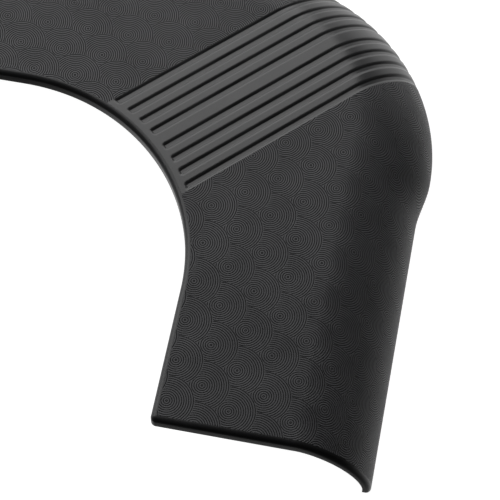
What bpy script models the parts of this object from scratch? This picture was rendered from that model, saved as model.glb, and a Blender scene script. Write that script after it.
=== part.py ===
"""Rubber corner ramp unit: two equal arms about a mitred corner, lying face up on the ground.

Plan frame: the inner edge is a quarter circle about the origin, the right arm runs along -Y from it and
the left arm along -X, and the mitre is the line x = y. Everything hangs on one empty, which moves the
middle of the unit's footprint to the world's origin.
"""

import math

import bpy
import bmesh
import numpy as np
from mathutils import Matrix

# Driving dimensions, in metres
HEIGHT = 0.075          # ground to the flat face
INNER_RADIUS = 0.186    # plan radius of the inner edge round the corner
ARM_WIDTH = 0.192       # inner edge to the straight part of the outer side
ARM_STRAIGHT = 0.128    # end of the inner quarter circle to the arm's end
CORNER_RADIUS = 0.197   # plan radius of the outer side round the corner
FLARE = 0.007           # how far the outer side steps out before the corner
FLARE_LENGTH = 0.050    # length of the S by which it steps out
ROLL_WIDTH = 0.069      # plan width of the rolled outer side
ROLL_POWER = 1.65       # 2 is an ellipse; lower is closer to a chamfer
FOOT = 0.004            # short upright strip that stands on the ground
WALL = 0.0075           # thickness of the rubber shells

LIP_DEPTH = 0.0125      # how far the edge beads hang below the face
LIP_WIDTH = 0.005
LIP_ROUND = 0.0035
LIP_GROOVE = 0.0008     # small vee between a bead and its cover
LIP_STUB = 0.006        # the inner bead turns each corner and runs on this far

CHANNELS_PER_SIDE = 4
CHANNEL_WIDTH = 0.0095
CHANNEL_LAND = 0.0056
MIDDLE_LAND = 0.0097
CHANNEL_DEPTH = 0.0025
CHANNEL_RUN = 0.0027    # plan width of a channel's sloped side
CHANNEL_SHIFT = -0.005  # the channels' middle, off the mitre towards the left arm
CHANNEL_MARGIN = 0.005  # smooth strip left between the inner bead and the channels
CHANNEL_STOP = 0.010    # height above ground at which the channels end

PLATE_WIDTH = 0.040
PLATE_THICKNESS = 0.003
PLATE_MARGIN = 0.012
PLATE_BEVEL = 0.0006
STUD_OFFSET = 0.010     # stud row to seam
STUD_HEAD_RADIUS = 0.007
STUD_HEAD_THICKNESS = 0.002
STUD_RADIUS = 0.003
STUD_LENGTH = 0.014
WASHER_RADIUS = 0.009
WASHER_THICKNESS = 0.0012
NUT_RADIUS = 0.0058     # across corners, halved
NUT_THICKNESS = 0.005
BORE_CLEARANCE = 0.0003

POST_TOP_RADIUS = 0.020
POST_WAIST_RADIUS = 0.0185
POST_FOOT_RADIUS = 0.021
POST_FLANGE = 0.005
POST_FILLET = 0.003
POST_FROM_EDGE = 0.062  # inner edge to the posts' line
POST_FROM_END = 0.075
POST_PAST_BEND = 0.045  # second post of an arm, past the start of the bend
POST_SPACING = 0.090    # between the two posts on the mitre

GAP = 0.0003            # between pieces that rest on each other
SEAM = 0.0004           # between neighbouring covers

# Worked out from the driving dimensions
SIDE = INNER_RADIUS + ARM_WIDTH
RIM = SIDE + FLARE
CORNER_CENTRE = RIM - CORNER_RADIUS
COVER_INNER = INNER_RADIUS + LIP_WIDTH
COVER_END = -ARM_STRAIGHT + LIP_WIDTH
CHANNEL_PITCH = CHANNEL_WIDTH + CHANNEL_LAND
SEAM_OFFSET = MIDDLE_LAND / 2 + CHANNELS_PER_SIDE * CHANNEL_PITCH - CHANNEL_LAND
UNDERSIDE = HEIGHT - WALL - GAP
REACH = 2 * RIM         # longer than any straight line across the unit

ROLL_STEPS = 9
ROWS_ON_ARM = 20
BEAD_ARC_STEPS = 18


# ---------- the outer form, as functions of a plan position ----------

def smooth(u):
    """Cubic ease from 0 to 1."""
    u = np.clip(u, 0, 1)
    return u * u * (3 - 2 * u)


def inward(x, y):
    """Plan distance in from the unflared outer side: straight beside the arm, round about the corner."""
    x, y = np.maximum(x, y), np.minimum(x, y)
    straight = SIDE - x
    round_ = CORNER_RADIUS - FLARE - np.hypot(x - CORNER_CENTRE, y - CORNER_CENTRE)
    return np.where(y < CORNER_CENTRE, straight, round_)


def flare(x, y):
    """How far the outer side stands out here: nothing along the arm, all of FLARE round the corner."""
    along = np.minimum(x, y) - (CORNER_CENTRE - FLARE_LENGTH)
    return FLARE * smooth(along / FLARE_LENGTH)


def roll(x, y):
    """0 where the face starts to roll down, 1 at the rim, negative on the flat."""
    return (ROLL_WIDTH - inward(x, y)) / (ROLL_WIDTH + flare(x, y))


def drop(r):
    """Height lost at roll r: a quarter of a superellipse."""
    r = np.clip(r, 0, 1)
    return (HEIGHT - FOOT) * (1 - (1 - r**ROLL_POWER) ** (1 / ROLL_POWER))


def face_point(x, y):
    return np.stack([x, y, HEIGHT - drop(roll(x, y))], -1)


def face_normal(x, y):
    """Unit normal of the face: straight up on the flat, level at the rim."""
    step = 1e-5
    slope_x = (roll(x + step, y) - roll(x - step, y)) / (2 * step)
    slope_y = (roll(x, y + step) - roll(x, y - step)) / (2 * step)
    r = np.clip(roll(x, y), 0, 1)
    fall = (HEIGHT - FOOT) * r ** (ROLL_POWER - 1)
    rise = (1 - r**ROLL_POWER) ** (1 - 1 / ROLL_POWER)
    normal = np.stack([fall * slope_x, fall * slope_y, rise], -1)
    return normal / np.linalg.norm(normal, axis=-1, keepdims=True)


def walk(x, y, dx, dy, target):
    """Distance from (x, y) along (dx, dy) at which the face reaches this roll, by halving."""
    low = np.zeros(np.broadcast(x, target).shape)
    high = np.full_like(low, REACH)
    for _ in range(50):
        middle = (low + high) / 2
        before = roll(x + dx * middle, y + dy * middle) < target
        low = np.where(before, middle, low)
        high = np.where(before, high, middle)
    return (low + high) / 2


def roll_levels(extra_heights=()):
    """Rolls of the rows down the outer side, evenly round the superellipse, with rows at set heights."""
    angles = list(np.linspace(0, math.pi / 2, ROLL_STEPS + 1))
    for height in extra_heights:
        angles.append(math.acos(((height - FOOT) / (HEIGHT - FOOT)) ** (ROLL_POWER / 2)))
    return np.sin(np.sort(angles)) ** (2 / ROLL_POWER)


# ---------- meshes ----------

def clear_scene():
    for obj in list(bpy.data.objects):
        bpy.data.objects.remove(obj, do_unlink=True)


def make_material(name, colour, roughness, metallic=0.0):
    material = bpy.data.materials.new(name)
    material.use_nodes = True
    shader = material.node_tree.nodes["Principled BSDF"]
    shader.inputs["Base Color"].default_value = (*colour, 1.0)
    shader.inputs["Roughness"].default_value = roughness
    shader.inputs["Metallic"].default_value = metallic
    return material


def add_object(name, mesh, material, sharp_angle=40):
    mesh.materials.append(material)
    mesh.shade_smooth()
    mesh.set_sharp_from_angle(angle=math.radians(sharp_angle))
    obj = bpy.data.objects.new(name, mesh)
    parts.objects.link(obj)
    obj.parent = unit
    return obj


def mirrored(points):
    """The same points on the other side of the mitre."""
    return points[..., [1, 0, 2]]


def grid_faces(rows, columns, first=0, flip=False):
    """Quads of a grid whose vertices run along each row in turn."""
    start = (np.arange(rows - 1)[:, None] * columns + np.arange(columns - 1)[None, :]).ravel() + first
    quads = np.stack([start, start + 1, start + columns + 1, start + columns], 1)
    return quads[:, ::-1] if flip else quads


def mesh_from(name, points, faces):
    mesh = bpy.data.meshes.new(name)
    mesh.from_pydata(points.reshape(-1, 3).tolist(), [], [list(map(int, face)) for face in faces])
    shape = bmesh.new()
    shape.from_mesh(mesh)
    bmesh.ops.recalc_face_normals(shape, faces=shape.faces)
    shape.to_mesh(mesh)
    shape.free()
    return mesh


def shell_mesh(name, outer, inner):
    """Closed shell between two grids of the same size: both skins and the strip round their edges."""
    rows, columns = outer.shape[:2]
    count = rows * columns
    index = np.arange(count).reshape(rows, columns)
    edge = np.concatenate([index[0, :-1], index[:-1, -1], index[-1, :0:-1], index[:0:-1, 0]])
    following = np.roll(edge, -1)
    rim = np.stack([edge, following, following + count, edge + count], 1)
    faces = list(grid_faces(rows, columns)) + list(grid_faces(rows, columns, count, flip=True)) + list(rim)
    return mesh_from(name, np.concatenate([outer.reshape(-1, 3), inner.reshape(-1, 3)]), faces)


def swept_mesh(name, rings):
    """Closed bar from a run of rings of points, with a flat cap at each end."""
    count, around = rings.shape[:2]
    faces = []
    for ring in range(count - 1):
        for k in range(around):
            n = (k + 1) % around
            near, far = ring * around, (ring + 1) * around
            faces.append([near + k, near + n, far + n, far + k])
    faces.append(range(around))
    faces.append(range((count - 1) * around, count * around))
    return mesh_from(name, rings, faces)


def settled_mesh(guide, name):
    """A guide object's mesh with its modifiers settled; the guide itself is removed."""
    mesh = bpy.data.meshes.new_from_object(guide.evaluated_get(bpy.context.evaluated_depsgraph_get()))
    mesh.name = name
    bpy.data.objects.remove(guide)
    shape = bmesh.new()
    shape.from_mesh(mesh)
    bmesh.ops.remove_doubles(shape, verts=shape.verts, dist=0.00005)
    bmesh.ops.recalc_face_normals(shape, faces=shape.faces)
    shape.to_mesh(mesh)
    shape.free()
    return mesh


def turned_mesh(name, profile, steps, closed=False):
    """Solid of revolution about Z from (radius, height) pairs, listed from the top down."""
    mesh = bpy.data.meshes.new(name)
    edges = [(k, k + 1) for k in range(len(profile) - 1)]
    if closed:
        edges.append((len(profile) - 1, 0))
    mesh.from_pydata([(radius, 0, height) for radius, height in profile], edges, [])
    guide = bpy.data.objects.new(name + "_guide", mesh)
    bpy.context.scene.collection.objects.link(guide)
    screw = guide.modifiers.new("turn", "SCREW")
    screw.axis = "Z"
    screw.steps = screw.render_steps = steps
    screw.use_merge_vertices = True
    screw.merge_threshold = 0.00005
    return settled_mesh(guide, name)


def drum(name, radius, depth, sides, collection):
    """Upright prism or cylinder, with the middle of its height at the origin."""
    shape = bmesh.new()
    bmesh.ops.create_cone(shape, cap_ends=True, segments=sides, radius1=radius, radius2=radius, depth=depth)
    mesh = bpy.data.meshes.new(name)
    shape.to_mesh(mesh)
    shape.free()
    obj = bpy.data.objects.new(name, mesh)
    collection.objects.link(obj)
    return obj


def cut_with(obj, cutter, name):
    cutter.hide_render = True
    cutter.display_type = "WIRE"
    cut = obj.modifiers.new(name, "BOOLEAN")
    cut.operation = "DIFFERENCE"
    cut.solver = "EXACT"
    cut.object = cutter


# ---------- rubber covers ----------

def skins(x, y, dx, dy, distances, sunk=0.0):
    """Outer and inner skin along straight lines: x, y, dx, dy one to a line, distances (lines, points).
    The last point of each line is repeated at ground level, as the foot."""
    px = x[:, None] + dx[:, None] * distances
    py = y[:, None] + dy[:, None] * distances
    face = face_point(px, py)
    normal = face_normal(px, py)
    outer = face - normal * sunk
    inner = face - normal * WALL
    foot = np.array([1, 1, 0])
    outer = np.concatenate([outer, outer[:, -1:] * foot], 1)
    inner = np.concatenate([inner, inner[:, -1:] * foot], 1)
    return outer, inner


def seam_offset(left):
    """Distance from the mitre to the middle of the seam with this arm."""
    return SEAM_OFFSET - CHANNEL_SHIFT if left else SEAM_OFFSET + CHANNEL_SHIFT


def arm_lines(left):
    """Straight plan lines across the arm, square to it at its end and turning to the seam's 45 degrees."""
    seam = seam_offset(left) + SEAM / 2
    seam_turn = math.pi / 4 - math.asin(seam / COVER_INNER)
    straight = -COVER_END
    arc = COVER_INNER * seam_turn
    u = np.linspace(0, 1, ROWS_ON_ARM)
    travelled = u * (straight + arc)
    turn = np.clip((travelled - straight) / COVER_INNER, 0, None)
    x = COVER_INNER * np.cos(turn)
    y = np.where(turn > 0, COVER_INNER * np.sin(turn), COVER_END + travelled)
    lean = math.pi / 4 * smooth(u) ** 1.5
    return x, y, np.cos(lean), np.sin(lean)


def arm_cover(name, left):
    x, y, dx, dy = arm_lines(left)
    levels = roll_levels()
    starts = walk(x, y, dx, dy, 0.0)
    flat = np.linspace(0, 1, 4)[None, :-1] * starts[:, None]
    rolled = walk(x[:, None], y[:, None], dx[:, None], dy[:, None], levels[None, :])
    outer, inner = skins(x, y, dx, dy, np.concatenate([flat, rolled], 1))
    if left:
        outer, inner = mirrored(outer), mirrored(inner)
    add_object(name, shell_mesh(name, outer, inner), rubber)


def channel_columns():
    """Offsets from the mitre of the corner's lines, and 1 on those that lie on a channel's floor."""
    offsets = []
    floor = []
    for k in range(CHANNELS_PER_SIDE):
        start = MIDDLE_LAND / 2 + k * CHANNEL_PITCH
        offsets += [start, start + CHANNEL_RUN, start + CHANNEL_WIDTH - CHANNEL_RUN, start + CHANNEL_WIDTH]
        floor += [0, 1, 1, 0]
    offsets = np.array(offsets)
    offsets[-1] -= SEAM / 2
    return np.concatenate([-offsets[::-1], offsets]) + CHANNEL_SHIFT, np.array(floor[::-1] + floor)


def corner_cover(name):
    offset, floor = channel_columns()
    along = np.sqrt(COVER_INNER**2 - offset**2)
    half = math.sqrt(0.5)
    x, y = (along + offset) * half, (along - offset) * half
    dx = dy = np.full_like(x, half)
    levels = roll_levels([CHANNEL_STOP, CHANNEL_STOP + CHANNEL_RUN])
    starts = walk(x, y, dx, dy, 0.0)
    near = np.array([0, CHANNEL_MARGIN, CHANNEL_MARGIN + CHANNEL_RUN])
    flat = near[-1] + (starts[:, None] - near[-1]) * np.array([1 / 3, 2 / 3])
    rolled = walk(x[:, None], y[:, None], dx[:, None], dy[:, None], levels[None, :])
    distances = np.concatenate([np.tile(near, (len(x), 1)), flat, rolled], 1)
    stop = math.acos(((CHANNEL_STOP + CHANNEL_RUN - FOOT) / (HEIGHT - FOOT)) ** (ROLL_POWER / 2))
    deep_levels = levels <= math.sin(stop) ** (2 / ROLL_POWER) + 1e-9
    deep = np.concatenate([[0, 0, 1, 1, 1], deep_levels])
    sunk = CHANNEL_DEPTH * floor[:, None] * deep[None, :]
    outer, inner = skins(x, y, dx, dy, distances, sunk[..., None])
    add_object(name, shell_mesh(name, outer, inner), rubber, sharp_angle=25)


# ---------- edge beads ----------

def bead_section(depth):
    """Points (outward, downward) round a bead's section: vee, top, rounded outer edge, underside."""
    turn = np.linspace(0, math.pi / 2, 4)
    arc = np.stack([LIP_WIDTH - LIP_ROUND + LIP_ROUND * np.sin(turn), LIP_ROUND - LIP_ROUND * np.cos(turn)], 1)
    chamfer = LIP_GROOVE
    top = [(GAP, LIP_GROOVE), (GAP + LIP_GROOVE, 0)]
    bottom = [(LIP_WIDTH, depth - chamfer), (LIP_WIDTH - chamfer, depth), (GAP, depth)]
    return np.array(top + arc.tolist() + bottom)


def bead_rings(base, out, down, depth):
    """Rings of a bead: base points on the cover's edge, with outward and downward directions at each."""
    sections = np.stack([bead_section(d) for d in depth])
    return base[:, None] + out[:, None] * sections[..., :1] + down[:, None] * sections[..., 1:]


def inner_bead(name):
    """Runs along both arms' inner edges and round the corner, and turns each arm's end corner."""
    stub = np.array([[COVER_INNER + LIP_STUB, COVER_END]])
    corner = np.array([[COVER_INNER, COVER_END]])
    corner_turn = np.linspace(-math.pi / 2, -math.pi, 6)
    arc_turn = np.linspace(0, math.pi / 4, BEAD_ARC_STEPS // 2 + 1)
    base = np.concatenate([
        stub,
        np.repeat(corner, len(corner_turn), 0),
        COVER_INNER * np.stack([np.cos(arc_turn), np.sin(arc_turn)], 1),
    ])
    out = np.concatenate([
        [[0, -1]],
        np.stack([np.cos(corner_turn), np.sin(corner_turn)], 1),
        -np.stack([np.cos(arc_turn), np.sin(arc_turn)], 1),
    ])
    base = np.concatenate([base, base[-2::-1, ::-1]])
    out = np.concatenate([out, out[-2::-1, ::-1]])
    base = np.column_stack([base, np.full(len(base), HEIGHT)])
    out = np.column_stack([out, np.zeros(len(out))])
    down = np.tile([0.0, 0.0, -1.0], (len(base), 1))
    rings = bead_rings(base, out, down, np.full(len(base), LIP_DEPTH))
    add_object(name, swept_mesh(name, rings), bead_rubber)


def end_bead(name, left):
    """Runs across an arm's open end and down its rolled side, thinning to the wall at the rim."""
    start = COVER_INNER + LIP_STUB + GAP
    levels = roll_levels()
    rolled = SIDE - ROLL_WIDTH + ROLL_WIDTH * levels
    x = np.concatenate([[start, (start + rolled[0]) / 2], rolled])
    y = np.full_like(x, COVER_END)
    base = face_point(x, y)
    down = -face_normal(x, y)
    share = np.clip(roll(x, y), 0, 1)
    depth = LIP_DEPTH + (WALL - LIP_DEPTH) * share
    base = np.concatenate([base, base[-1:] * [1, 1, 0]])
    down = np.concatenate([down, down[-1:]])
    depth = np.append(depth, depth[-1])
    out = np.tile([0.0, -1.0, 0.0], (len(base), 1))
    rings = bead_rings(base, out, down, depth)
    if left:
        rings = mirrored(rings)
    add_object(name, swept_mesh(name, rings), bead_rubber)


# ---------- what holds the seams together ----------

def plate_span(seam):
    """Start and length of a splice plate along the mitre's direction, kept within the flat of the face."""
    start = math.sqrt(COVER_INNER**2 - (seam - PLATE_WIDTH / 2) ** 2) + PLATE_MARGIN
    outer = seam + PLATE_WIDTH / 2
    half = math.sqrt(0.5)
    x, y = np.array((start + outer) * half), np.array((start - outer) * half)
    flat = float(walk(x, y, half, half, 0.0))
    return start, flat - PLATE_MARGIN


def place_by_mitre(obj, along, offset, height, left):
    """Puts an object at a distance along the mitre's direction and an offset across it."""
    half = math.sqrt(0.5)
    x, y = (along + offset) * half, (along - offset) * half
    if left:
        x, y = y, x
    obj.location = (x, y, height)
    obj.rotation_euler = (0, 0, math.pi / 4)


def splice_plate(name, left, stud_places):
    """Steel strip under a seam, with a hole round each stud's head."""
    seam = seam_offset(left)
    start, length = plate_span(seam)
    shape = bmesh.new()
    bmesh.ops.create_cube(shape, size=1, matrix=Matrix.Diagonal((length, PLATE_WIDTH, PLATE_THICKNESS, 1)))
    mesh = bpy.data.meshes.new(name)
    shape.to_mesh(mesh)
    shape.free()
    plate = add_object(name, mesh, zinc_steel)
    middle_height = UNDERSIDE - PLATE_THICKNESS / 2
    place_by_mitre(plate, start + length / 2, seam, middle_height, left)
    bevel = plate.modifiers.new("edges", "BEVEL")
    bevel.width = PLATE_BEVEL
    bevel.segments = 1
    for k, (along, offset) in enumerate(stud_places, 1):
        bore = STUD_HEAD_RADIUS + BORE_CLEARANCE
        cutter = drum(f"{name}_cutter_{k}", bore, 3 * PLATE_THICKNESS, 16, cutters)
        cutter.parent = unit
        place_by_mitre(cutter, along, offset, middle_height, left)
        cut_with(plate, cutter, f"hole_{k}")


def stud_mesh():
    """Flat round head above, shank below; its top is at height 0."""
    head, shank, tip = STUD_HEAD_THICKNESS, STUD_LENGTH, 0.0008
    return turned_mesh("splice_stud", [
        (0, 0), (STUD_HEAD_RADIUS, 0), (STUD_HEAD_RADIUS, -head), (STUD_RADIUS, -head),
        (STUD_RADIUS, -shank + tip), (STUD_RADIUS - tip, -shank), (0, -shank),
    ], 16)


def washer_mesh():
    bore = STUD_RADIUS + BORE_CLEARANCE
    return turned_mesh("splice_washer", [
        (bore, 0), (WASHER_RADIUS, 0), (WASHER_RADIUS, -WASHER_THICKNESS), (bore, -WASHER_THICKNESS),
    ], 16, closed=True)


def nut_mesh():
    """Hexagonal prism with a plain bore; its top is at height 0."""
    nut_guide = drum("splice_nut_guide", NUT_RADIUS, NUT_THICKNESS, 6, bpy.context.scene.collection)
    bore_guide = drum("splice_nut_bore", STUD_RADIUS + BORE_CLEARANCE, 2 * NUT_THICKNESS, 12, cutters)
    cut_with(nut_guide, bore_guide, "bore")
    mesh = settled_mesh(nut_guide, "splice_nut")
    bpy.data.objects.remove(bore_guide)
    mesh.transform(Matrix.Translation((0, 0, -NUT_THICKNESS / 2)))
    return mesh


def splice(side, left):
    """One seam's plate with four studs, each with its washer and nut."""
    seam = seam_offset(left)
    start, length = plate_span(seam)
    places = []
    for share in (0.2, 0.8):
        for across in (-STUD_OFFSET, STUD_OFFSET):
            places.append((start + share * length, seam + across))
    splice_plate(f"{side}_splice_plate", left, places)
    washer_top = UNDERSIDE - PLATE_THICKNESS - GAP
    nut_top = washer_top - WASHER_THICKNESS - GAP
    for k, (along, offset) in enumerate(places, 1):
        stack = (("stud", stud, UNDERSIDE), ("washer", washer, washer_top), ("nut", nut, nut_top))
        for kind, mesh, top in stack:
            name = f"{side}_splice_{kind}_{k}"
            obj = add_object(name, mesh.copy(), zinc_steel)
            place_by_mitre(obj, along, offset, top, left)


# ---------- support posts ----------

def post_mesh():
    top, flange, fillet = UNDERSIDE, POST_FLANGE, POST_FILLET
    return turned_mesh("support_post", [
        (0, top), (POST_TOP_RADIUS, top), (POST_TOP_RADIUS, top - flange),
        (POST_WAIST_RADIUS, top - flange - fillet), (POST_WAIST_RADIUS, flange + fillet),
        (POST_FOOT_RADIUS, flange), (POST_FOOT_RADIUS, 0), (0, 0),
    ], 16)


def support_posts():
    """Two under each arm, beside the inner edge, and two under the corner on the mitre."""
    line = INNER_RADIUS + POST_FROM_EDGE
    near = line * math.sqrt(0.5)
    far = (line + POST_SPACING) * math.sqrt(0.5)
    arm = [(line, -ARM_STRAIGHT + POST_FROM_END), (line, POST_PAST_BEND)]
    corner = [(near, near), (far, far)]
    places = arm + [(y, x) for x, y in arm] + corner
    shape = post_mesh()
    for k, (x, y) in enumerate(places, 1):
        obj = add_object(f"support_post_{k}", shape.copy(), post_rubber)
        obj.location = (x, y, 0)


clear_scene()
parts = bpy.data.collections.new("rubber_corner_ramp")
cutters = bpy.data.collections.new("cutters")
for group in (parts, cutters):
    bpy.context.scene.collection.children.link(group)
unit = bpy.data.objects.new("unit", None)
parts.objects.link(unit)
middle = (RIM - ARM_STRAIGHT) / 2
unit.location = (-middle, -middle, 0)

rubber = make_material("moulded_rubber", (0.020, 0.020, 0.021), 0.55)
bead_rubber = make_material("bead_rubber", (0.018, 0.018, 0.019), 0.40)
post_rubber = make_material("recycled_rubber", (0.030, 0.029, 0.028), 0.85)
zinc_steel = make_material("zinc_plated_steel", (0.55, 0.56, 0.58), 0.35, 1.0)

arm_cover("right_arm_cover", left=False)
arm_cover("left_arm_cover", left=True)
corner_cover("corner_cover")
inner_bead("inner_edge_bead")
end_bead("right_end_bead", left=False)
end_bead("left_end_bead", left=True)

stud, washer, nut = stud_mesh(), washer_mesh(), nut_mesh()
splice("right", left=False)
splice("left", left=True)
support_posts()
bpy.context.view_layer.update()
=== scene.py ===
import math

import bpy
import numpy as np
from mathutils import Euler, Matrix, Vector


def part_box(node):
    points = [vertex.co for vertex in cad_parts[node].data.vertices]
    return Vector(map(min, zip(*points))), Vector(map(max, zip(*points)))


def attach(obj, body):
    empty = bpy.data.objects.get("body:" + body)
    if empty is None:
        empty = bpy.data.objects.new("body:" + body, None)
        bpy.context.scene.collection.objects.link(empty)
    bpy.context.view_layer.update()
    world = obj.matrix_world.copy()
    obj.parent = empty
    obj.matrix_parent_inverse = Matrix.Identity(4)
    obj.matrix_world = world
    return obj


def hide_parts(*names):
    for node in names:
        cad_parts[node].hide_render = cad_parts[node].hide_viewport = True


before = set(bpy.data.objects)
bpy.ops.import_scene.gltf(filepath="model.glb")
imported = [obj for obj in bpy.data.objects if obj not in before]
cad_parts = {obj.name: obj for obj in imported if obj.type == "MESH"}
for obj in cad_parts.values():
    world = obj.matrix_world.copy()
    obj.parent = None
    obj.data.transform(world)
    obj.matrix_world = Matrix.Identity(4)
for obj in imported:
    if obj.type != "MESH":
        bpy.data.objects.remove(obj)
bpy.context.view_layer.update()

# Rubber corner ramp: two arms, a channelled corner between them, and what holds it up underneath.
# The CAD frame gives every place; the skins here are the same formulas at a finer spacing.

print("frame loaded:", len(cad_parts), "nodes")


# ---- the form ----

form = {
    "armWidth": 0.192,       # inner edge to the straight outer side
    "armStraight": 0.128,    # end of the bend to the arm's end
    "beadWidth": 0.005,
    "cornerRadius": 0.197,   # outer side round the corner, in plan
    "stepOut": 0.0065,       # the outer side stands out this far round the corner
    "stepLength": 0.050,
    "rollWidth": 0.069,
    "rollPower": 1.65,       # 2 is an ellipse, less is nearer a chamfer
    "foot": 0.004,
    "wall": 0.0075,
    "edgeRound": 0.00015,     # rounded edge of a cover where it meets a bead
}

armLow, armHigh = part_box("right_arm_cover")
height = armHigh[2]
armEnd = armLow[1]
bendRadius = 0.191    # covers' inner edge round the corner
bendCentre = armEnd + form["armStraight"] - form["beadWidth"]    # the same in x and in y
side = bendCentre + bendRadius - form["beadWidth"] + form["armWidth"]
rim = side + form["stepOut"]
roundCentre = rim - form["cornerRadius"]
half = math.sqrt(0.5)


def easeIn(u):
    # cubic ease: 3u^2 - 2u^3
    u = np.clip(u, 0, 1)
    return u * u * (3 - 2 * u)


def insideBy(x, y):
    # plan distance in from the unflared outer side: a line by the arm, a circle about the corner
    x, y = np.maximum(x, y), np.minimum(x, y)
    fromCircle = form["cornerRadius"] - form["stepOut"] - np.hypot(x - roundCentre, y - roundCentre)
    return np.where(y < roundCentre, side - x, fromCircle)


def rollShare(x, y):
    # 0 where the roll starts and 1 at the rim, stretched where the side steps out
    out = form["stepOut"] * easeIn((np.minimum(x, y) - roundCentre) / form["stepLength"] + 1)
    return (form["rollWidth"] - insideBy(x, y)) / (form["rollWidth"] + out)


def onFace(x, y):
    # height less a quarter superellipse of the roll share
    r = np.clip(rollShare(x, y), 0, 1)
    fall = (height - form["foot"]) * (1 - (1 - r ** form["rollPower"]) ** (1 / form["rollPower"]))
    return np.stack([x, y, height - fall], -1)


def faceNormal(x, y):
    # gradient of the superellipse along the gradient of the roll share
    step = 1e-5
    slopeX = (rollShare(x + step, y) - rollShare(x - step, y)) / (2 * step)
    slopeY = (rollShare(x, y + step) - rollShare(x, y - step)) / (2 * step)
    r = np.clip(rollShare(x, y), 0, 1)
    fall = (height - form["foot"]) * r ** (form["rollPower"] - 1)
    rise = (1 - r ** form["rollPower"]) ** (1 - 1 / form["rollPower"])
    normal = np.stack([fall * slopeX, fall * slopeY, rise], -1)
    return normal / np.linalg.norm(normal, axis=-1, keepdims=True)


def walkTo(x, y, dx, dy, share):
    # how far along (dx, dy) the roll share is reached, by halving an interval
    low = np.zeros(np.broadcast(x, share).shape)
    high = np.full_like(low, 0.8)
    for halving in range(48):
        middle = (low + high) / 2
        before = rollShare(x + dx * middle, y + dy * middle) < share
        low, high = np.where(before, middle, low), np.where(before, high, middle)
    return (low + high) / 2


def evenRolls(count):
    # roll shares at even steps of the superellipse's own angle
    return np.sin(np.linspace(0, math.pi / 2, count)) ** (2 / form["rollPower"])


# ---- meshes ----

def meshPiece(name, points, faces, material, patternAt=None, sharp=35):
    mesh = bpy.data.meshes.new(name)
    mesh.from_pydata(points.reshape(-1, 3).tolist(), [], faces)
    if patternAt is not None:
        corners = np.empty(len(mesh.loops), np.int32)
        mesh.loops.foreach_get("vertex_index", corners)
        layer = mesh.uv_layers.new(name="pattern")
        layer.data.foreach_set("uv", patternAt.reshape(-1, 2)[corners].astype(np.float32).ravel())
    mesh.materials.append(material)
    mesh.shade_smooth()
    mesh.set_sharp_from_angle(angle=math.radians(sharp))
    piece = bpy.data.objects.new(name, mesh)
    bpy.context.scene.collection.objects.link(piece)
    return piece


def closedShell(outer, inner, turned):
    # both skins as grids of quads, joined by a strip round their shared outline
    rows, columns = outer.shape[:2]
    count = rows * columns
    index = np.arange(count).reshape(rows, columns)
    quads = np.stack([index[:-1, :-1], index[1:, :-1], index[1:, 1:], index[:-1, 1:]], -1)
    quads = quads.reshape(-1, 4)
    outline = np.concatenate([index[0, :-1], index[:-1, -1], index[-1, :0:-1], index[:0:-1, 0]])
    after = np.roll(outline, -1)
    strip = np.stack([outline, after, after + count, outline + count], 1)
    faces = np.concatenate([quads, quads[:, ::-1] + count, strip])
    if turned:
        faces = faces[:, ::-1]
    return np.concatenate([outer.reshape(-1, 3), inner.reshape(-1, 3)]), faces.tolist()


def acrossMitre(points, mirror):
    return points[..., [1, 0, 2]] if mirror else points


def skinPair(x, y, dx, dy, distances, sunk):
    # outer skin: the face less the sunk depth along its normal; inner skin: a wall's thickness in;
    # both end in a foot, the last line brought down to the ground in three steps
    px, py = x[:, None] + dx[:, None] * distances, y[:, None] + dy[:, None] * distances
    face, normal = onFace(px, py), faceNormal(px, py)
    outer = face - normal * sunk[..., None]
    inner = face - normal * form["wall"]
    # pattern place: the line's start plus the length run over the curved face
    steps = np.linalg.norm(np.diff(face, axis=1), axis=-1)
    run = np.concatenate([np.zeros((len(x), 1)), np.cumsum(steps, 1)], 1)
    pattern = np.stack([x[:, None] + dx[:, None] * run, y[:, None] + dy[:, None] * run], -1)
    footLine = (1 - np.array([0.35, 0.7, 1.0]))[None, :, None]
    levels = np.array([1, 1, 0]) + footLine * np.array([0, 0, 1])
    outer = np.concatenate([outer, outer[:, -1:] * levels], 1)
    inner = np.concatenate([inner, inner[:, -1:] * levels], 1)
    pattern = np.concatenate([pattern, np.repeat(pattern[:, -1:], 3, 1)], 1)
    return outer, inner, pattern


def edgeFall(distance):
    # quarter circle at a cover's edge: r - sqrt(r^2 - (r - d)^2)
    r = form["edgeRound"]
    near = np.clip(r - distance, 0, r)
    return r - np.sqrt(r * r - near * near)


# ---- colour and materials ----

def linear(hexColour):
    channels = [int(hexColour[k:k + 2], 16) / 255 for k in (1, 3, 5)]
    return [c / 12.92 if c <= 0.04045 else ((c + 0.055) / 1.055) ** 2.4 for c in channels] + [1.0]


def addNode(tree, kind, inputs=None, **settings):
    # one node with its settings; a socket among the inputs is linked, anything else is a value
    node = tree.nodes.new(kind)
    for key, value in settings.items():
        setattr(node, key, value)
    for key, value in (inputs or {}).items():
        if isinstance(value, bpy.types.NodeSocket):
            tree.links.new(value, node.inputs[key])
        else:
            node.inputs[key].default_value = value
    return node


def newMaterial(name, **shaderValues):
    material = bpy.data.materials.new(name)
    material.use_nodes = True
    shader = material.node_tree.nodes["Principled BSDF"]
    for key, value in shaderValues.items():
        shader.inputs[key.replace("_", " ")].default_value = value
    return material, material.node_tree, shader


# Overlapping ring discs, as a turned-and-stepped tool leaves them in a mould.
relief = {
    "discRadius": 0.0237,
    "columnStep": 0.0265,
    "discStep": 0.0386,
    "firstDisc": (0.2231 + bendCentre, -0.0119 + bendCentre),
    "ringPitch": 0.002,
    "grooveShare": 0.60,  # of the pitch; the rest is flat land
    "phase": 0.65,        # grooves lie at whole numbers of distance / pitch + this
    "depth": 0.00030,
}


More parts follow.
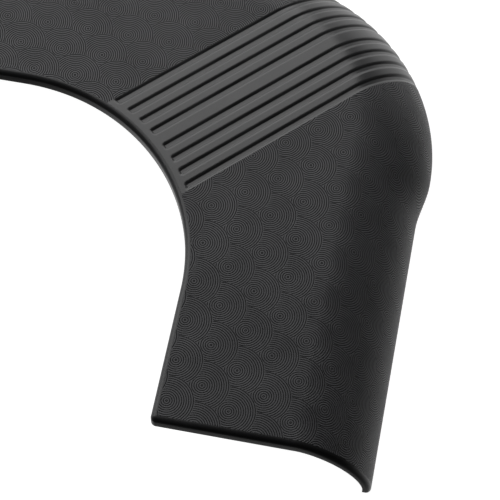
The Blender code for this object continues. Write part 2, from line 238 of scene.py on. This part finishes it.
def ringHeight(tree):
    # the ring profile at a point: the leftmost column that covers it, and there the lowest disc
    place = addNode(tree, "ShaderNodeUVMap", uv_map="pattern")
    split = addNode(tree, "ShaderNodeSeparateXYZ", {0: place.outputs[0]})
    radius, column, disc = relief["discRadius"], relief["columnStep"], relief["discStep"]
    # each step is a result's name, an operation, and its inputs: earlier results or numbers
    steps = [
        ("u", "SUBTRACT", "x", relief["firstDisc"][0]),
        ("v", "SUBTRACT", "y", relief["firstDisc"][1]),
        ("toEdge", "SUBTRACT", "u", radius),
        ("columns", "DIVIDE", "toEdge", column),
        ("first", "CEIL", "columns"),
    ]
    for k in (0, 1):
        steps += [
            (f"number{k}", "ADD", "first", float(k)),
            (f"start{k}", "MULTIPLY", f"number{k}", column),
            (f"across{k}", "SUBTRACT", "u", f"start{k}"),
            (f"odd{k}", "FLOORED_MODULO", f"number{k}", 2.0),
            (f"shift{k}", "MULTIPLY", f"odd{k}", disc / 2),
            (f"along{k}", "SUBTRACT", "v", f"shift{k}"),
            (f"acrossSquare{k}", "MULTIPLY", f"across{k}", f"across{k}"),
            (f"left{k}", "SUBTRACT", radius**2, f"acrossSquare{k}"),
            (f"leftOver{k}", "MAXIMUM", f"left{k}", 0.0),
            (f"reach{k}", "SQRT", f"leftOver{k}"),
            (f"below{k}", "SUBTRACT", f"along{k}", f"reach{k}"),
            (f"discs{k}", "DIVIDE", f"below{k}", disc),
            (f"lowest{k}", "CEIL", f"discs{k}"),
            (f"base{k}", "MULTIPLY", f"lowest{k}", disc),
            (f"up{k}", "SUBTRACT", f"along{k}", f"base{k}"),
            (f"upSquare{k}", "MULTIPLY", f"up{k}", f"up{k}"),
            (f"square{k}", "ADD", f"acrossSquare{k}", f"upSquare{k}"),
            (f"distance{k}", "SQRT", f"square{k}"),
        ]
    steps += [
        ("past", "ADD", "up0", "reach0"),
        ("covered", "GREATER_THAN", "past", 0.0),
        ("open", "SUBTRACT", 1.0, "covered"),
        ("nearPart", "MULTIPLY", "distance0", "covered"),
        ("farPart", "MULTIPLY", "distance1", "open"),
        ("distance", "ADD", "nearPart", "farPart"),
        ("rings", "MULTIPLY_ADD", "distance", 1 / relief["ringPitch"], relief["phase"]),
        ("fromGroove", "PINGPONG", "rings", 0.5),
    ]
    found = {"x": split.outputs[0], "y": split.outputs[1]}
    for name, operation, *values in steps:
        inputs = {k: found.get(value, value) for k, value in enumerate(values)}
        found[name] = addNode(tree, "ShaderNodeMath", inputs, operation=operation).outputs[0]
    # V grooves between flat lands: a triangle wave of the distance, cut off at the land's level
    landFrom = relief["grooveShare"] / 2
    return addNode(tree, "ShaderNodeMapRange", {0: found["fromGroove"], 2: landFrom}).outputs[0]


rubberLook = {
    "face": "#1d1d1e",
    "worn": "#2b2b2c",
    "armFace": "#48484a",
    "armWorn": "#545456",
    "armMirror": 0.20,      # specular level of the arms
    "roughSpread": (-0.03, 0.04),
    "cloudScale": 22.0,     # patches of about 45 mm
    "grain": 0.0004,        # metres; fine pitting of a moulded skin
    "grainDepth": 0.00004,
    "grooveRough": 0.3,     # how much rougher the skin is in the ring grooves
}


def mouldedRubber(name, rings, roughness, face=rubberLook["face"], worn=rubberLook["worn"],
                  mirrorLevel=0.5):
    # compression-moulded black rubber: a dark satin skin, slightly greyer where it is rubbed
    look = rubberLook
    material, tree, shader = newMaterial(name, IOR=1.50, Specular_IOR_Level=mirrorLevel)
    where = addNode(tree, "ShaderNodeTexCoord").outputs["Object"]
    cloud = addNode(tree, "ShaderNodeTexNoise",
                    {"Vector": where, "Scale": look["cloudScale"], "Detail": 5.0}).outputs[0]
    grit = addNode(tree, "ShaderNodeTexNoise",
                   {"Vector": where, "Scale": 0.25 / look["grain"], "Detail": 2.0})
    patch = addNode(tree, "ShaderNodeMapRange", {0: cloud, 1: 0.35, 2: 0.7, 3: 0.0, 4: 1.0}).outputs[0]
    colour = addNode(tree, "ShaderNodeMix", {0: patch, 6: linear(face), 7: linear(worn)},
                     data_type="RGBA")
    low, high = (roughness + spread for spread in look["roughSpread"])
    rough = addNode(tree, "ShaderNodeMapRange", {0: cloud, 1: 0.3, 2: 0.7, 3: low, 4: high})
    roughAll = rough.outputs[0]
    fine = addNode(tree, "ShaderNodeBump",
                   {"Strength": 0.25, "Distance": look["grainDepth"], "Height": grit.outputs[0]})
    normal = fine.outputs[0]
    if rings:
        wave = ringHeight(tree)
        # painted shade: the tone falls to black in a groove, darker than a real one, standing in for
        # the groove's occlusion so that 2 mm lines show
        grooveShadeTone = addNode(tree, "ShaderNodeMapRange", {0: wave, 1: 0.25, 3: 0.0, 4: 1.0},
                         interpolation_type="SMOOTHSTEP").outputs[0]
        duller = addNode(tree, "ShaderNodeMapRange",
                         {0: wave, 3: look["grooveRough"], 4: 0.0}).outputs[0]
        roughAll = addNode(tree, "ShaderNodeMath", {0: roughAll, 1: duller},
                           operation="ADD").outputs[0]
        # painted shade: the base colour is scaled down in the ring grooves
        colour = addNode(tree, "ShaderNodeVectorMath", {0: colour.outputs[2], 3: grooveShadeTone},
                         operation="SCALE")
        bump = addNode(tree, "ShaderNodeBump", {"Strength": 1.0, "Distance": relief["depth"],
                                               "Height": wave, "Normal": normal})
        normal = bump.outputs[0]
        tree.links.new(colour.outputs[0], shader.inputs["Base Color"])
    else:
        tree.links.new(colour.outputs[2], shader.inputs["Base Color"])
    tree.links.new(roughAll, shader.inputs["Roughness"])
    tree.links.new(normal, shader.inputs["Normal"])
    return material


def granulateRubber(name):
    # crumb rubber pressed with a binder: matt, pitted, crumbs of 2 to 3 mm in different blacks
    material, tree, shader = newMaterial(name, IOR=1.50)
    where = addNode(tree, "ShaderNodeTexCoord").outputs["Object"]
    crumbs = addNode(tree, "ShaderNodeTexVoronoi", {"Vector": where, "Scale": 400.0})
    tone = addNode(tree, "ShaderNodeSeparateColor", {0: crumbs.outputs["Color"]}).outputs[0]
    colour = addNode(tree, "ShaderNodeMix", {0: tone, 6: linear("#1e1d1c"), 7: linear("#3a3835")},
                     data_type="RGBA")
    rough = addNode(tree, "ShaderNodeMapRange", {0: tone, 3: 0.75, 4: 0.95})
    bump = addNode(tree, "ShaderNodeBump",
                   {"Strength": 0.8, "Distance": 0.0005, "Height": crumbs.outputs["Distance"]})
    tree.links.new(colour.outputs[2], shader.inputs["Base Color"])
    tree.links.new(rough.outputs[0], shader.inputs["Roughness"])
    tree.links.new(bump.outputs[0], shader.inputs["Normal"])
    return material


def zincPlate(name):
    # bright zinc plating on pressed steel: pale, slightly blue, with a clouded passivated skin
    material, tree, shader = newMaterial(name, Metallic=1.0)
    where = addNode(tree, "ShaderNodeTexCoord").outputs["Object"]
    cloud = addNode(tree, "ShaderNodeTexNoise",
                    {"Vector": where, "Scale": 180.0, "Detail": 4.0}).outputs[0]
    scratch = addNode(tree, "ShaderNodeMapping", {"Vector": where, "Scale": (90.0, 2600.0, 90.0),
                                                 "Rotation": (0.0, 0.0, math.pi / 4)}).outputs[0]
    lines = addNode(tree, "ShaderNodeTexNoise",
                    {"Vector": scratch, "Scale": 1.0, "Detail": 2.0}).outputs[0]
    colour = addNode(tree, "ShaderNodeMix", {0: cloud, 6: linear("#a9adb2"), 7: linear("#c9ccd0")},
                     data_type="RGBA")
    rough = addNode(tree, "ShaderNodeMapRange", {0: cloud, 1: 0.3, 2: 0.7, 3: 0.25, 4: 0.45})
    bump = addNode(tree, "ShaderNodeBump", {"Strength": 0.3, "Distance": 0.00005, "Height": lines})
    tree.links.new(colour.outputs[2], shader.inputs["Base Color"])
    tree.links.new(rough.outputs[0], shader.inputs["Roughness"])
    tree.links.new(bump.outputs[0], shader.inputs["Normal"])
    return material


# The arms' base is lighter and less glossy than the corner's, so that the ring lines show.
armRubber = mouldedRubber("ringTurnedRubber", True, 0.40, rubberLook["armFace"],
                          rubberLook["armWorn"], rubberLook["armMirror"])
cornerRubber = mouldedRubber("smoothMouldedRubber", False, 0.36)
beadRubber = mouldedRubber("beadRubber", False, 0.38, mirrorLevel=0.4)
postRubber = granulateRubber("crumbRubber")
zincSteel = zincPlate("zincPlatedSteel")
print("materials made")


# ---- arm covers ----

arms = {
    "lines": 190,         # across each arm, from its end to the seam
    "flatPoints": 40,
    "rollPoints": 64,
    "rightSeam": 0.05457,  # from the mitre to each arm's cut edge
    "leftSeam": 0.06457,
}


def armSkin(name, mirror):
    # lines leave the inner edge square to the end and turn to the mitre's 45 degrees at the seam
    turnAtSeam = math.pi / 4 - math.asin(arms["leftSeam" if mirror else "rightSeam"] / bendRadius)
    straight = bendCentre - armEnd
    edge = edgeSteps()
    length = straight + bendRadius * turnAtSeam
    even = np.linspace(0, length, arms["lines"])
    travelled = np.unique(np.concatenate([edge, even, length - edge / 2]))
    turn = np.clip((travelled - straight) / bendRadius, 0, None)
    x = bendCentre + bendRadius * np.cos(turn)
    y = np.where(turn > 0, bendCentre + bendRadius * np.sin(turn), armEnd + travelled)
    lean = math.pi / 4 * easeIn(travelled / length) ** 1.5
    dx, dy = np.cos(lean), np.sin(lean)
    start = walkTo(x, y, dx, dy, 0.0)
    share = np.linspace(0, 1, arms["flatPoints"])[1:-1]
    flat = edge[-1] + share * (start[:, None] - edge[-1])
    flat = np.concatenate([np.tile(edge, (len(x), 1)), flat], 1)
    rolled = walkTo(x[:, None], y[:, None], dx[:, None], dy[:, None],
                    evenRolls(arms["rollPoints"])[None, :])
    distances = np.concatenate([flat, rolled], 1)
    fromEnd = travelled[:, None] + 0 * distances
    sunk = np.maximum(edgeFall(distances), edgeFall(fromEnd))
    outer, inner, pattern = skinPair(x, y, dx, dy, distances, sunk)
    points, faces = closedShell(acrossMitre(outer, mirror), acrossMitre(inner, mirror), not mirror)
    pattern = np.concatenate([pattern.reshape(-1, 2)] * 2)
    return meshPiece(name, points, faces, armRubber, pattern)


def edgeSteps():
    # distances from an edge, close together where it is rounded
    return form["edgeRound"] * np.array([0, 0.08, 0.22, 0.42, 0.68, 1.0, 1.6])


rightArm = armSkin("rightArmSkin", False)
leftArm = armSkin("leftArmSkin", True)
print("arm covers made")


# ---- corner cover with its channels ----

channels = {
    "perSide": 4,
    "width": 0.0095,
    "land": 0.0056,
    "middleLand": 0.0097,
    "shift": -0.005,       # their middle, off the mitre towards the left arm
    "depth": 0.0013,
    "slope": 0.0030,       # plan width of the sloped side
    "shoulder": 1.7,       # power of the sloped side: round at the top, sharp at the floor
    "margin": 0.005,       # left smooth beside the inner bead
    "endRound": 0.0035,
    "stopHeight": 0.010,
    "columns": 250,
    "rollPoints": 56,
}


def channelDepth(offset, distances, z):
    # rounded meeting of two limits: the channel's own half width, and the line it starts from
    limit = np.full(offset.shape, 1.0)
    for k in range(channels["perSide"]):
        centre = (channels["middleLand"] + channels["width"]) / 2
        centre = centre + k * (channels["width"] + channels["land"])
        fromCentre = np.abs(np.abs(offset - channels["shift"]) - centre)
        limit = np.minimum(limit, fromCentre - channels["width"] / 2)
    start = channels["margin"] - distances
    rounding = channels["endRound"]
    a, b = np.maximum(limit + rounding, 0), np.maximum(start + rounding, 0)
    inside = rounding - np.hypot(a, b)
    inside = np.where((limit < -rounding) & (start < -rounding), np.minimum(-limit, -start), inside)
    stop = easeIn((z - channels["stopHeight"]) / channels["slope"] / 2)
    share = np.clip(inside / channels["slope"], 0, 1)
    return channels["depth"] * share ** channels["shoulder"] * stop


def cornerSkin(name):
    # lines run along the mitre's direction; the face is pressed in where a channel lies
    seam = channels["middleLand"] / 2 + 4 * channels["width"] + 3 * channels["land"] - 0.0001
    offset = np.linspace(-seam, seam, channels["columns"]) + channels["shift"]
    along = np.sqrt(bendRadius**2 - offset**2)
    x, y = bendCentre + (along + offset) * half, bendCentre + (along - offset) * half
    dx = dy = np.full_like(x, half)
    start = walkTo(x, y, dx, dy, 0.0)
    near = np.unique(np.concatenate([edgeSteps(), np.linspace(0.002, 0.014, 19)]))
    share = np.linspace(0, 1, 16)[1:-1]
    flat = near[-1] + share * (start[:, None] - near[-1])
    flat = np.concatenate([np.tile(near, (len(x), 1)), flat], 1)
    rolled = walkTo(x[:, None], y[:, None], dx[:, None], dy[:, None],
                    evenRolls(channels["rollPoints"])[None, :])
    distances = np.concatenate([flat, rolled], 1)
    px, py = x[:, None] + dx[:, None] * distances, y[:, None] + dy[:, None] * distances
    pressed = channelDepth(offset[:, None] + 0 * distances, distances, onFace(px, py)[..., 2])
    sunk = np.maximum(pressed, edgeFall(distances))
    outer, inner, _ = skinPair(x, y, dx, dy, distances, sunk)
    points, faces = closedShell(outer, inner, False)
    return meshPiece(name, points, faces, cornerRubber)


corner = cornerSkin("cornerSkin")
print("corner cover made")


# ---- edge beads ----

beads = {
    "gap": 0.00002,
    "width": 0.005,
    "depth": 0.0125,
    "topFall": 0.0046,    # the rounding's height over the bead's full width
    "stub": 0.006,
    "bottomRound": 0.0008,
}


def beadSection(depth):
    # (outward, downward) round the section: a quarter ellipse over the top, bottom rounding, back up
    turn = np.linspace(0, math.pi / 2, 13)
    bottom = beads["bottomRound"]
    left, right = beads["gap"], beads["width"]
    arcs = [
        np.stack([left + (right - left) * np.sin(turn), beads["topFall"] * (1 - np.cos(turn))], 1),
        np.stack([right - bottom + bottom * np.cos(turn),
                  depth - bottom + bottom * np.sin(turn)], 1),
        np.array([[left, depth]]),
    ]
    return np.concatenate(arcs)


def sweptBead(name, base, out, down, depth, mirror=False, flip=False):
    # the section carried along the edge, with a flat cap at each end
    sections = np.stack([beadSection(d) for d in depth])
    rings = base[:, None] + out[:, None] * sections[..., :1] + down[:, None] * sections[..., 1:]
    rings = acrossMitre(rings, mirror)
    count, around = rings.shape[:2]
    index = np.arange(count * around).reshape(count, around)
    turned = np.roll(index, -1, 1)
    quads = np.stack([index[:-1], turned[:-1], turned[1:], index[1:]], -1).reshape(-1, 4)
    faces = quads.tolist() + [index[0, ::-1].tolist(), index[-1].tolist()]
    if mirror == flip:
        faces = [face[::-1] for face in faces]
    return meshPiece(name, rings, faces, beadRubber, sharp=50)


def innerBead(name):
    # stub, rounded corner, straight edge and half the arc, then the same back across the mitre
    cornerTurn = np.linspace(-math.pi / 2, -math.pi, 14)
    arcTurn = np.linspace(0, math.pi / 4, 60)
    straight = np.linspace(armEnd, bendCentre, 30)[1:-1]
    edgeX = bendCentre + bendRadius
    base = np.concatenate([
        [[edgeX + beads["stub"], armEnd], [edgeX + beads["stub"] / 2, armEnd]],
        np.repeat([[edgeX, armEnd]], len(cornerTurn), 0),
        np.stack([np.full_like(straight, edgeX), straight], 1),
        bendCentre + bendRadius * np.stack([np.cos(arcTurn), np.sin(arcTurn)], 1),
    ])
    out = np.concatenate([
        [[0, -1], [0, -1]],
        np.stack([np.cos(cornerTurn), np.sin(cornerTurn)], 1),
        np.repeat([[-1, 0]], len(straight), 0),
        -np.stack([np.cos(arcTurn), np.sin(arcTurn)], 1),
    ])
    base = np.concatenate([base, base[-2::-1, ::-1]])
    out = np.concatenate([out, out[-2::-1, ::-1]])
    base = np.column_stack([base, np.full(len(base), height)])
    out = np.column_stack([out, np.zeros(len(out))])
    down = np.tile([0.0, 0.0, -1.0], (len(base), 1))
    return sweptBead(name, base, out, down, np.full(len(base), beads["depth"]))


def endBead(name, mirror):
    # follows the arm's end over the roll, thinning from the bead's depth to the wall's at the rim
    edgeX = bendCentre + bendRadius + beads["stub"] + beads["gap"]
    flatX = np.linspace(edgeX, side - form["rollWidth"], 30)[:-1]
    x = np.concatenate([flatX, side - form["rollWidth"] * (1 - evenRolls(60))])
    y = np.full_like(x, armEnd)
    base, down = onFace(x, y), -faceNormal(x, y)
    share = np.clip(rollShare(x, y), 0, 1)
    depth = beads["depth"] + (form["wall"] - beads["depth"]) * share
    base = np.concatenate([base, base[-1:] * [1, 1, 0]])
    down, depth = np.concatenate([down, down[-1:]]), np.append(depth, depth[-1])
    out = np.tile([0.0, -1.0, 0.0], (len(base), 1))
    return sweptBead(name, base, out, down, depth, mirror, flip=True)


innerEdge = innerBead("innerEdgeBead")
rightEnd = endBead("rightEndBead", False)
leftEnd = endBead("leftEndBead", True)
print("beads made")


# ---- support posts ----

posts = {
    "topRadius": 0.020,
    "waistRadius": 0.0185,
    "footRadius": 0.021,
    "flange": 0.005,
    "fillet": 0.003,
    "chamfer": 0.001,
    "sides": 72,
}


def turnedPost(name, node):
    # a profile turned about the post's own axis: sin and cos of the angle times the radius
    low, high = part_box(node)
    centre = (np.array(low) + np.array(high)) / 2
    foot, top, waist = posts["footRadius"], posts["topRadius"], posts["waistRadius"]
    flange, filletRise = posts["flange"], posts["fillet"]
    base, lid = low[2], high[2]
    fillet = np.linspace(0, math.pi / 2, 7)
    upper = np.stack([top - (top - waist) * np.sin(fillet),
                      lid - flange - filletRise * (1 - np.cos(fillet))], 1)
    lower = np.stack([waist + (foot - waist) * (1 - np.cos(fillet)),
                      base + flange + filletRise * (1 - np.sin(fillet))], 1)
    bodyTop, bodyBase = lid - flange - filletRise - 0.001, base + flange + filletRise + 0.001
    body = np.column_stack([np.full(9, waist), np.linspace(bodyTop, bodyBase, 9)])
    cut = posts["chamfer"]
    profile = np.concatenate([
        [[top - cut, lid], [top, lid - cut]], upper, body, lower,
        [[foot, base + cut], [foot - cut, base]],
    ])
    turn = np.linspace(0, 2 * math.pi, posts["sides"], endpoint=False)
    ring = np.stack([np.cos(turn), np.sin(turn), np.zeros_like(turn)], 1)
    points = ring[None] * profile[:, :1, None] + np.array([0, 0, 1]) * profile[:, 1:, None]
    points = points + np.array([centre[0], centre[1], 0])
    rows, around = points.shape[:2]
    index = np.arange(rows * around).reshape(rows, around)
    turned = np.roll(index, -1, 1)
    quads = np.stack([index[:-1], index[1:], turned[1:], turned[:-1]], -1).reshape(-1, 4)
    faces = quads.tolist() + [index[0].tolist(), index[-1, ::-1].tolist()]
    return meshPiece(name, points, faces, postRubber)


turnedPosts = [turnedPost(f"supportPost_{k}", f"support_post_{k}") for k in range(1, 7)]
print("posts made")


# ---- riding and finishes ----

for piece, node, finish in (
    (rightArm, "right_arm_cover", "moulded_rubber"),
    (leftArm, "left_arm_cover", "moulded_rubber"),
    (corner, "corner_cover", "moulded_rubber"),
    (innerEdge, "inner_edge_bead", "bead_rubber"),
    (rightEnd, "right_end_bead", "bead_rubber"),
    (leftEnd, "left_end_bead", "bead_rubber"),
    *((post, f"support_post_{k}", "recycled_rubber") for k, post in enumerate(turnedPosts, 1)),
):
    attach(piece, "root")
    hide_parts(node)

for node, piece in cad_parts.items():
    if "splice" in node:
        piece.data.materials.clear()
        piece.data.materials.append(zincSteel)
print("pieces ride on the frame")


# ---- floor, light and camera ----

studio = {
    "floor": "#8c8c8c",
    "floorGlow": 1.0,
    "floorHalf": 6.0,     # metres from the middle to the floor's edge
    "sky": 0.03,          # what the object is lit by from above the horizon
    "groundFront": 0.08,  # from below it, in front where the unit stands in its own shadow
    "groundBack": 1.2,    # and behind and beside
    "wallRight": 0.03,    # level with it, to the right
    "wallBack": 1.2,      # and behind it and to the left
    "groundToWall": (-0.45, -0.15),    # upward part of the direction, where one turns to the next
    "wallToSky": (0.12, 0.4),
    "skyForCamera": 0.95,
    "softboxes": (
        # name, place, size across and up, power in watts
        ("backPanel", (-0.80, 1.34, 1.40), (3.0, 1.9), 54.0),
    ),
}


def paleFloor():
    mesh = bpy.data.meshes.new("paleFloor")
    edge, level = studio["floorHalf"], -0.0004
    corners = [(-edge, -edge, level), (edge, -edge, level), (edge, edge, level), (-edge, edge, level)]
    mesh.from_pydata(corners, [], [(0, 1, 2, 3)])
    floor = bpy.data.objects.new("paleFloor", mesh)
    bpy.context.scene.collection.objects.link(floor)
    white = (1.0, 1.0, 1.0, 1.0)
    material, tree, shader = newMaterial("mattPaper", Roughness=0.9, Base_Color=linear(studio["floor"]),
                                         Emission_Color=white, Emission_Strength=studio["floorGlow"])
    mesh.materials.append(material)
    floor.visible_diffuse = floor.visible_glossy = False    # the sky's lower half lights the unit


def softbox(name, place, size, power):
    light = bpy.data.lights.new(name, "AREA")
    light.shape = "RECTANGLE"
    light.size, light.size_y = size
    light.energy = power
    lamp = bpy.data.objects.new(name, light)
    bpy.context.scene.collection.objects.link(lamp)
    lamp.rotation_euler = (-Vector(place)).to_track_quat("-Z", "Y").to_euler()    # faces the unit
    lamp.location = place


def paleSky():
    world = bpy.data.worlds.new("paleSky")
    bpy.context.scene.world = world
    world.use_nodes = True
    tree = world.node_tree
    direction = addNode(tree, "ShaderNodeTexCoord").outputs["Generated"]
    way = addNode(tree, "ShaderNodeSeparateXYZ", {0: direction})
    across, up = way.outputs[1], way.outputs[2]
    back = addNode(tree, "ShaderNodeVectorMath", {0: direction, 1: (-0.45, 0.9, 0.0)},
                   operation="DOT_PRODUCT").outputs["Value"]
    ground = addNode(tree, "ShaderNodeMapRange", {0: across, 1: -0.5, 2: 0.2, 3: studio["groundFront"],
                                                  4: studio["groundBack"]}).outputs[0]
    wall = addNode(tree, "ShaderNodeMapRange", {0: back, 1: 0.2, 2: 0.6, 3: studio["wallRight"],
                                                4: studio["wallBack"]}).outputs[0]
    start, end = studio["groundToWall"]
    low = addNode(tree, "ShaderNodeMapRange", {0: up, 1: start, 2: end, 3: ground, 4: wall}).outputs[0]
    start, end = studio["wallToSky"]
    lit = addNode(tree, "ShaderNodeMapRange",
                  {0: up, 1: start, 2: end, 3: low, 4: studio["sky"]}).outputs[0]
    seen = addNode(tree, "ShaderNodeLightPath").outputs["Is Camera Ray"]
    strength = addNode(tree, "ShaderNodeMapRange",
                       {0: seen, 3: lit, 4: studio["skyForCamera"]}).outputs[0]
    tree.links.new(strength, tree.nodes["Background"].inputs["Strength"])
    tree.nodes["Background"].inputs["Color"].default_value = (1.0, 1.0, 1.0, 1.0)


view = {
    "place": (0.2472, -0.8811, 1.5587),
    "turn": (28.663, -0.55, 10.743),
    "lens": 138.85,
}


def studioCamera():
    lens = bpy.data.cameras.new("studioCamera")
    lens.lens = view["lens"]
    lens.sensor_width = 36.0
    camera = bpy.data.objects.new("studioCamera", lens)
    camera.location = view["place"]
    camera.rotation_euler = Euler([math.radians(a) for a in view["turn"]])
    bpy.context.scene.collection.objects.link(camera)
    bpy.context.scene.camera = camera


paleFloor()
for box in studio["softboxes"]:
    softbox(*box)
paleSky()
studioCamera()
bpy.context.scene.view_settings.view_transform = "Standard"
print("studio ready")
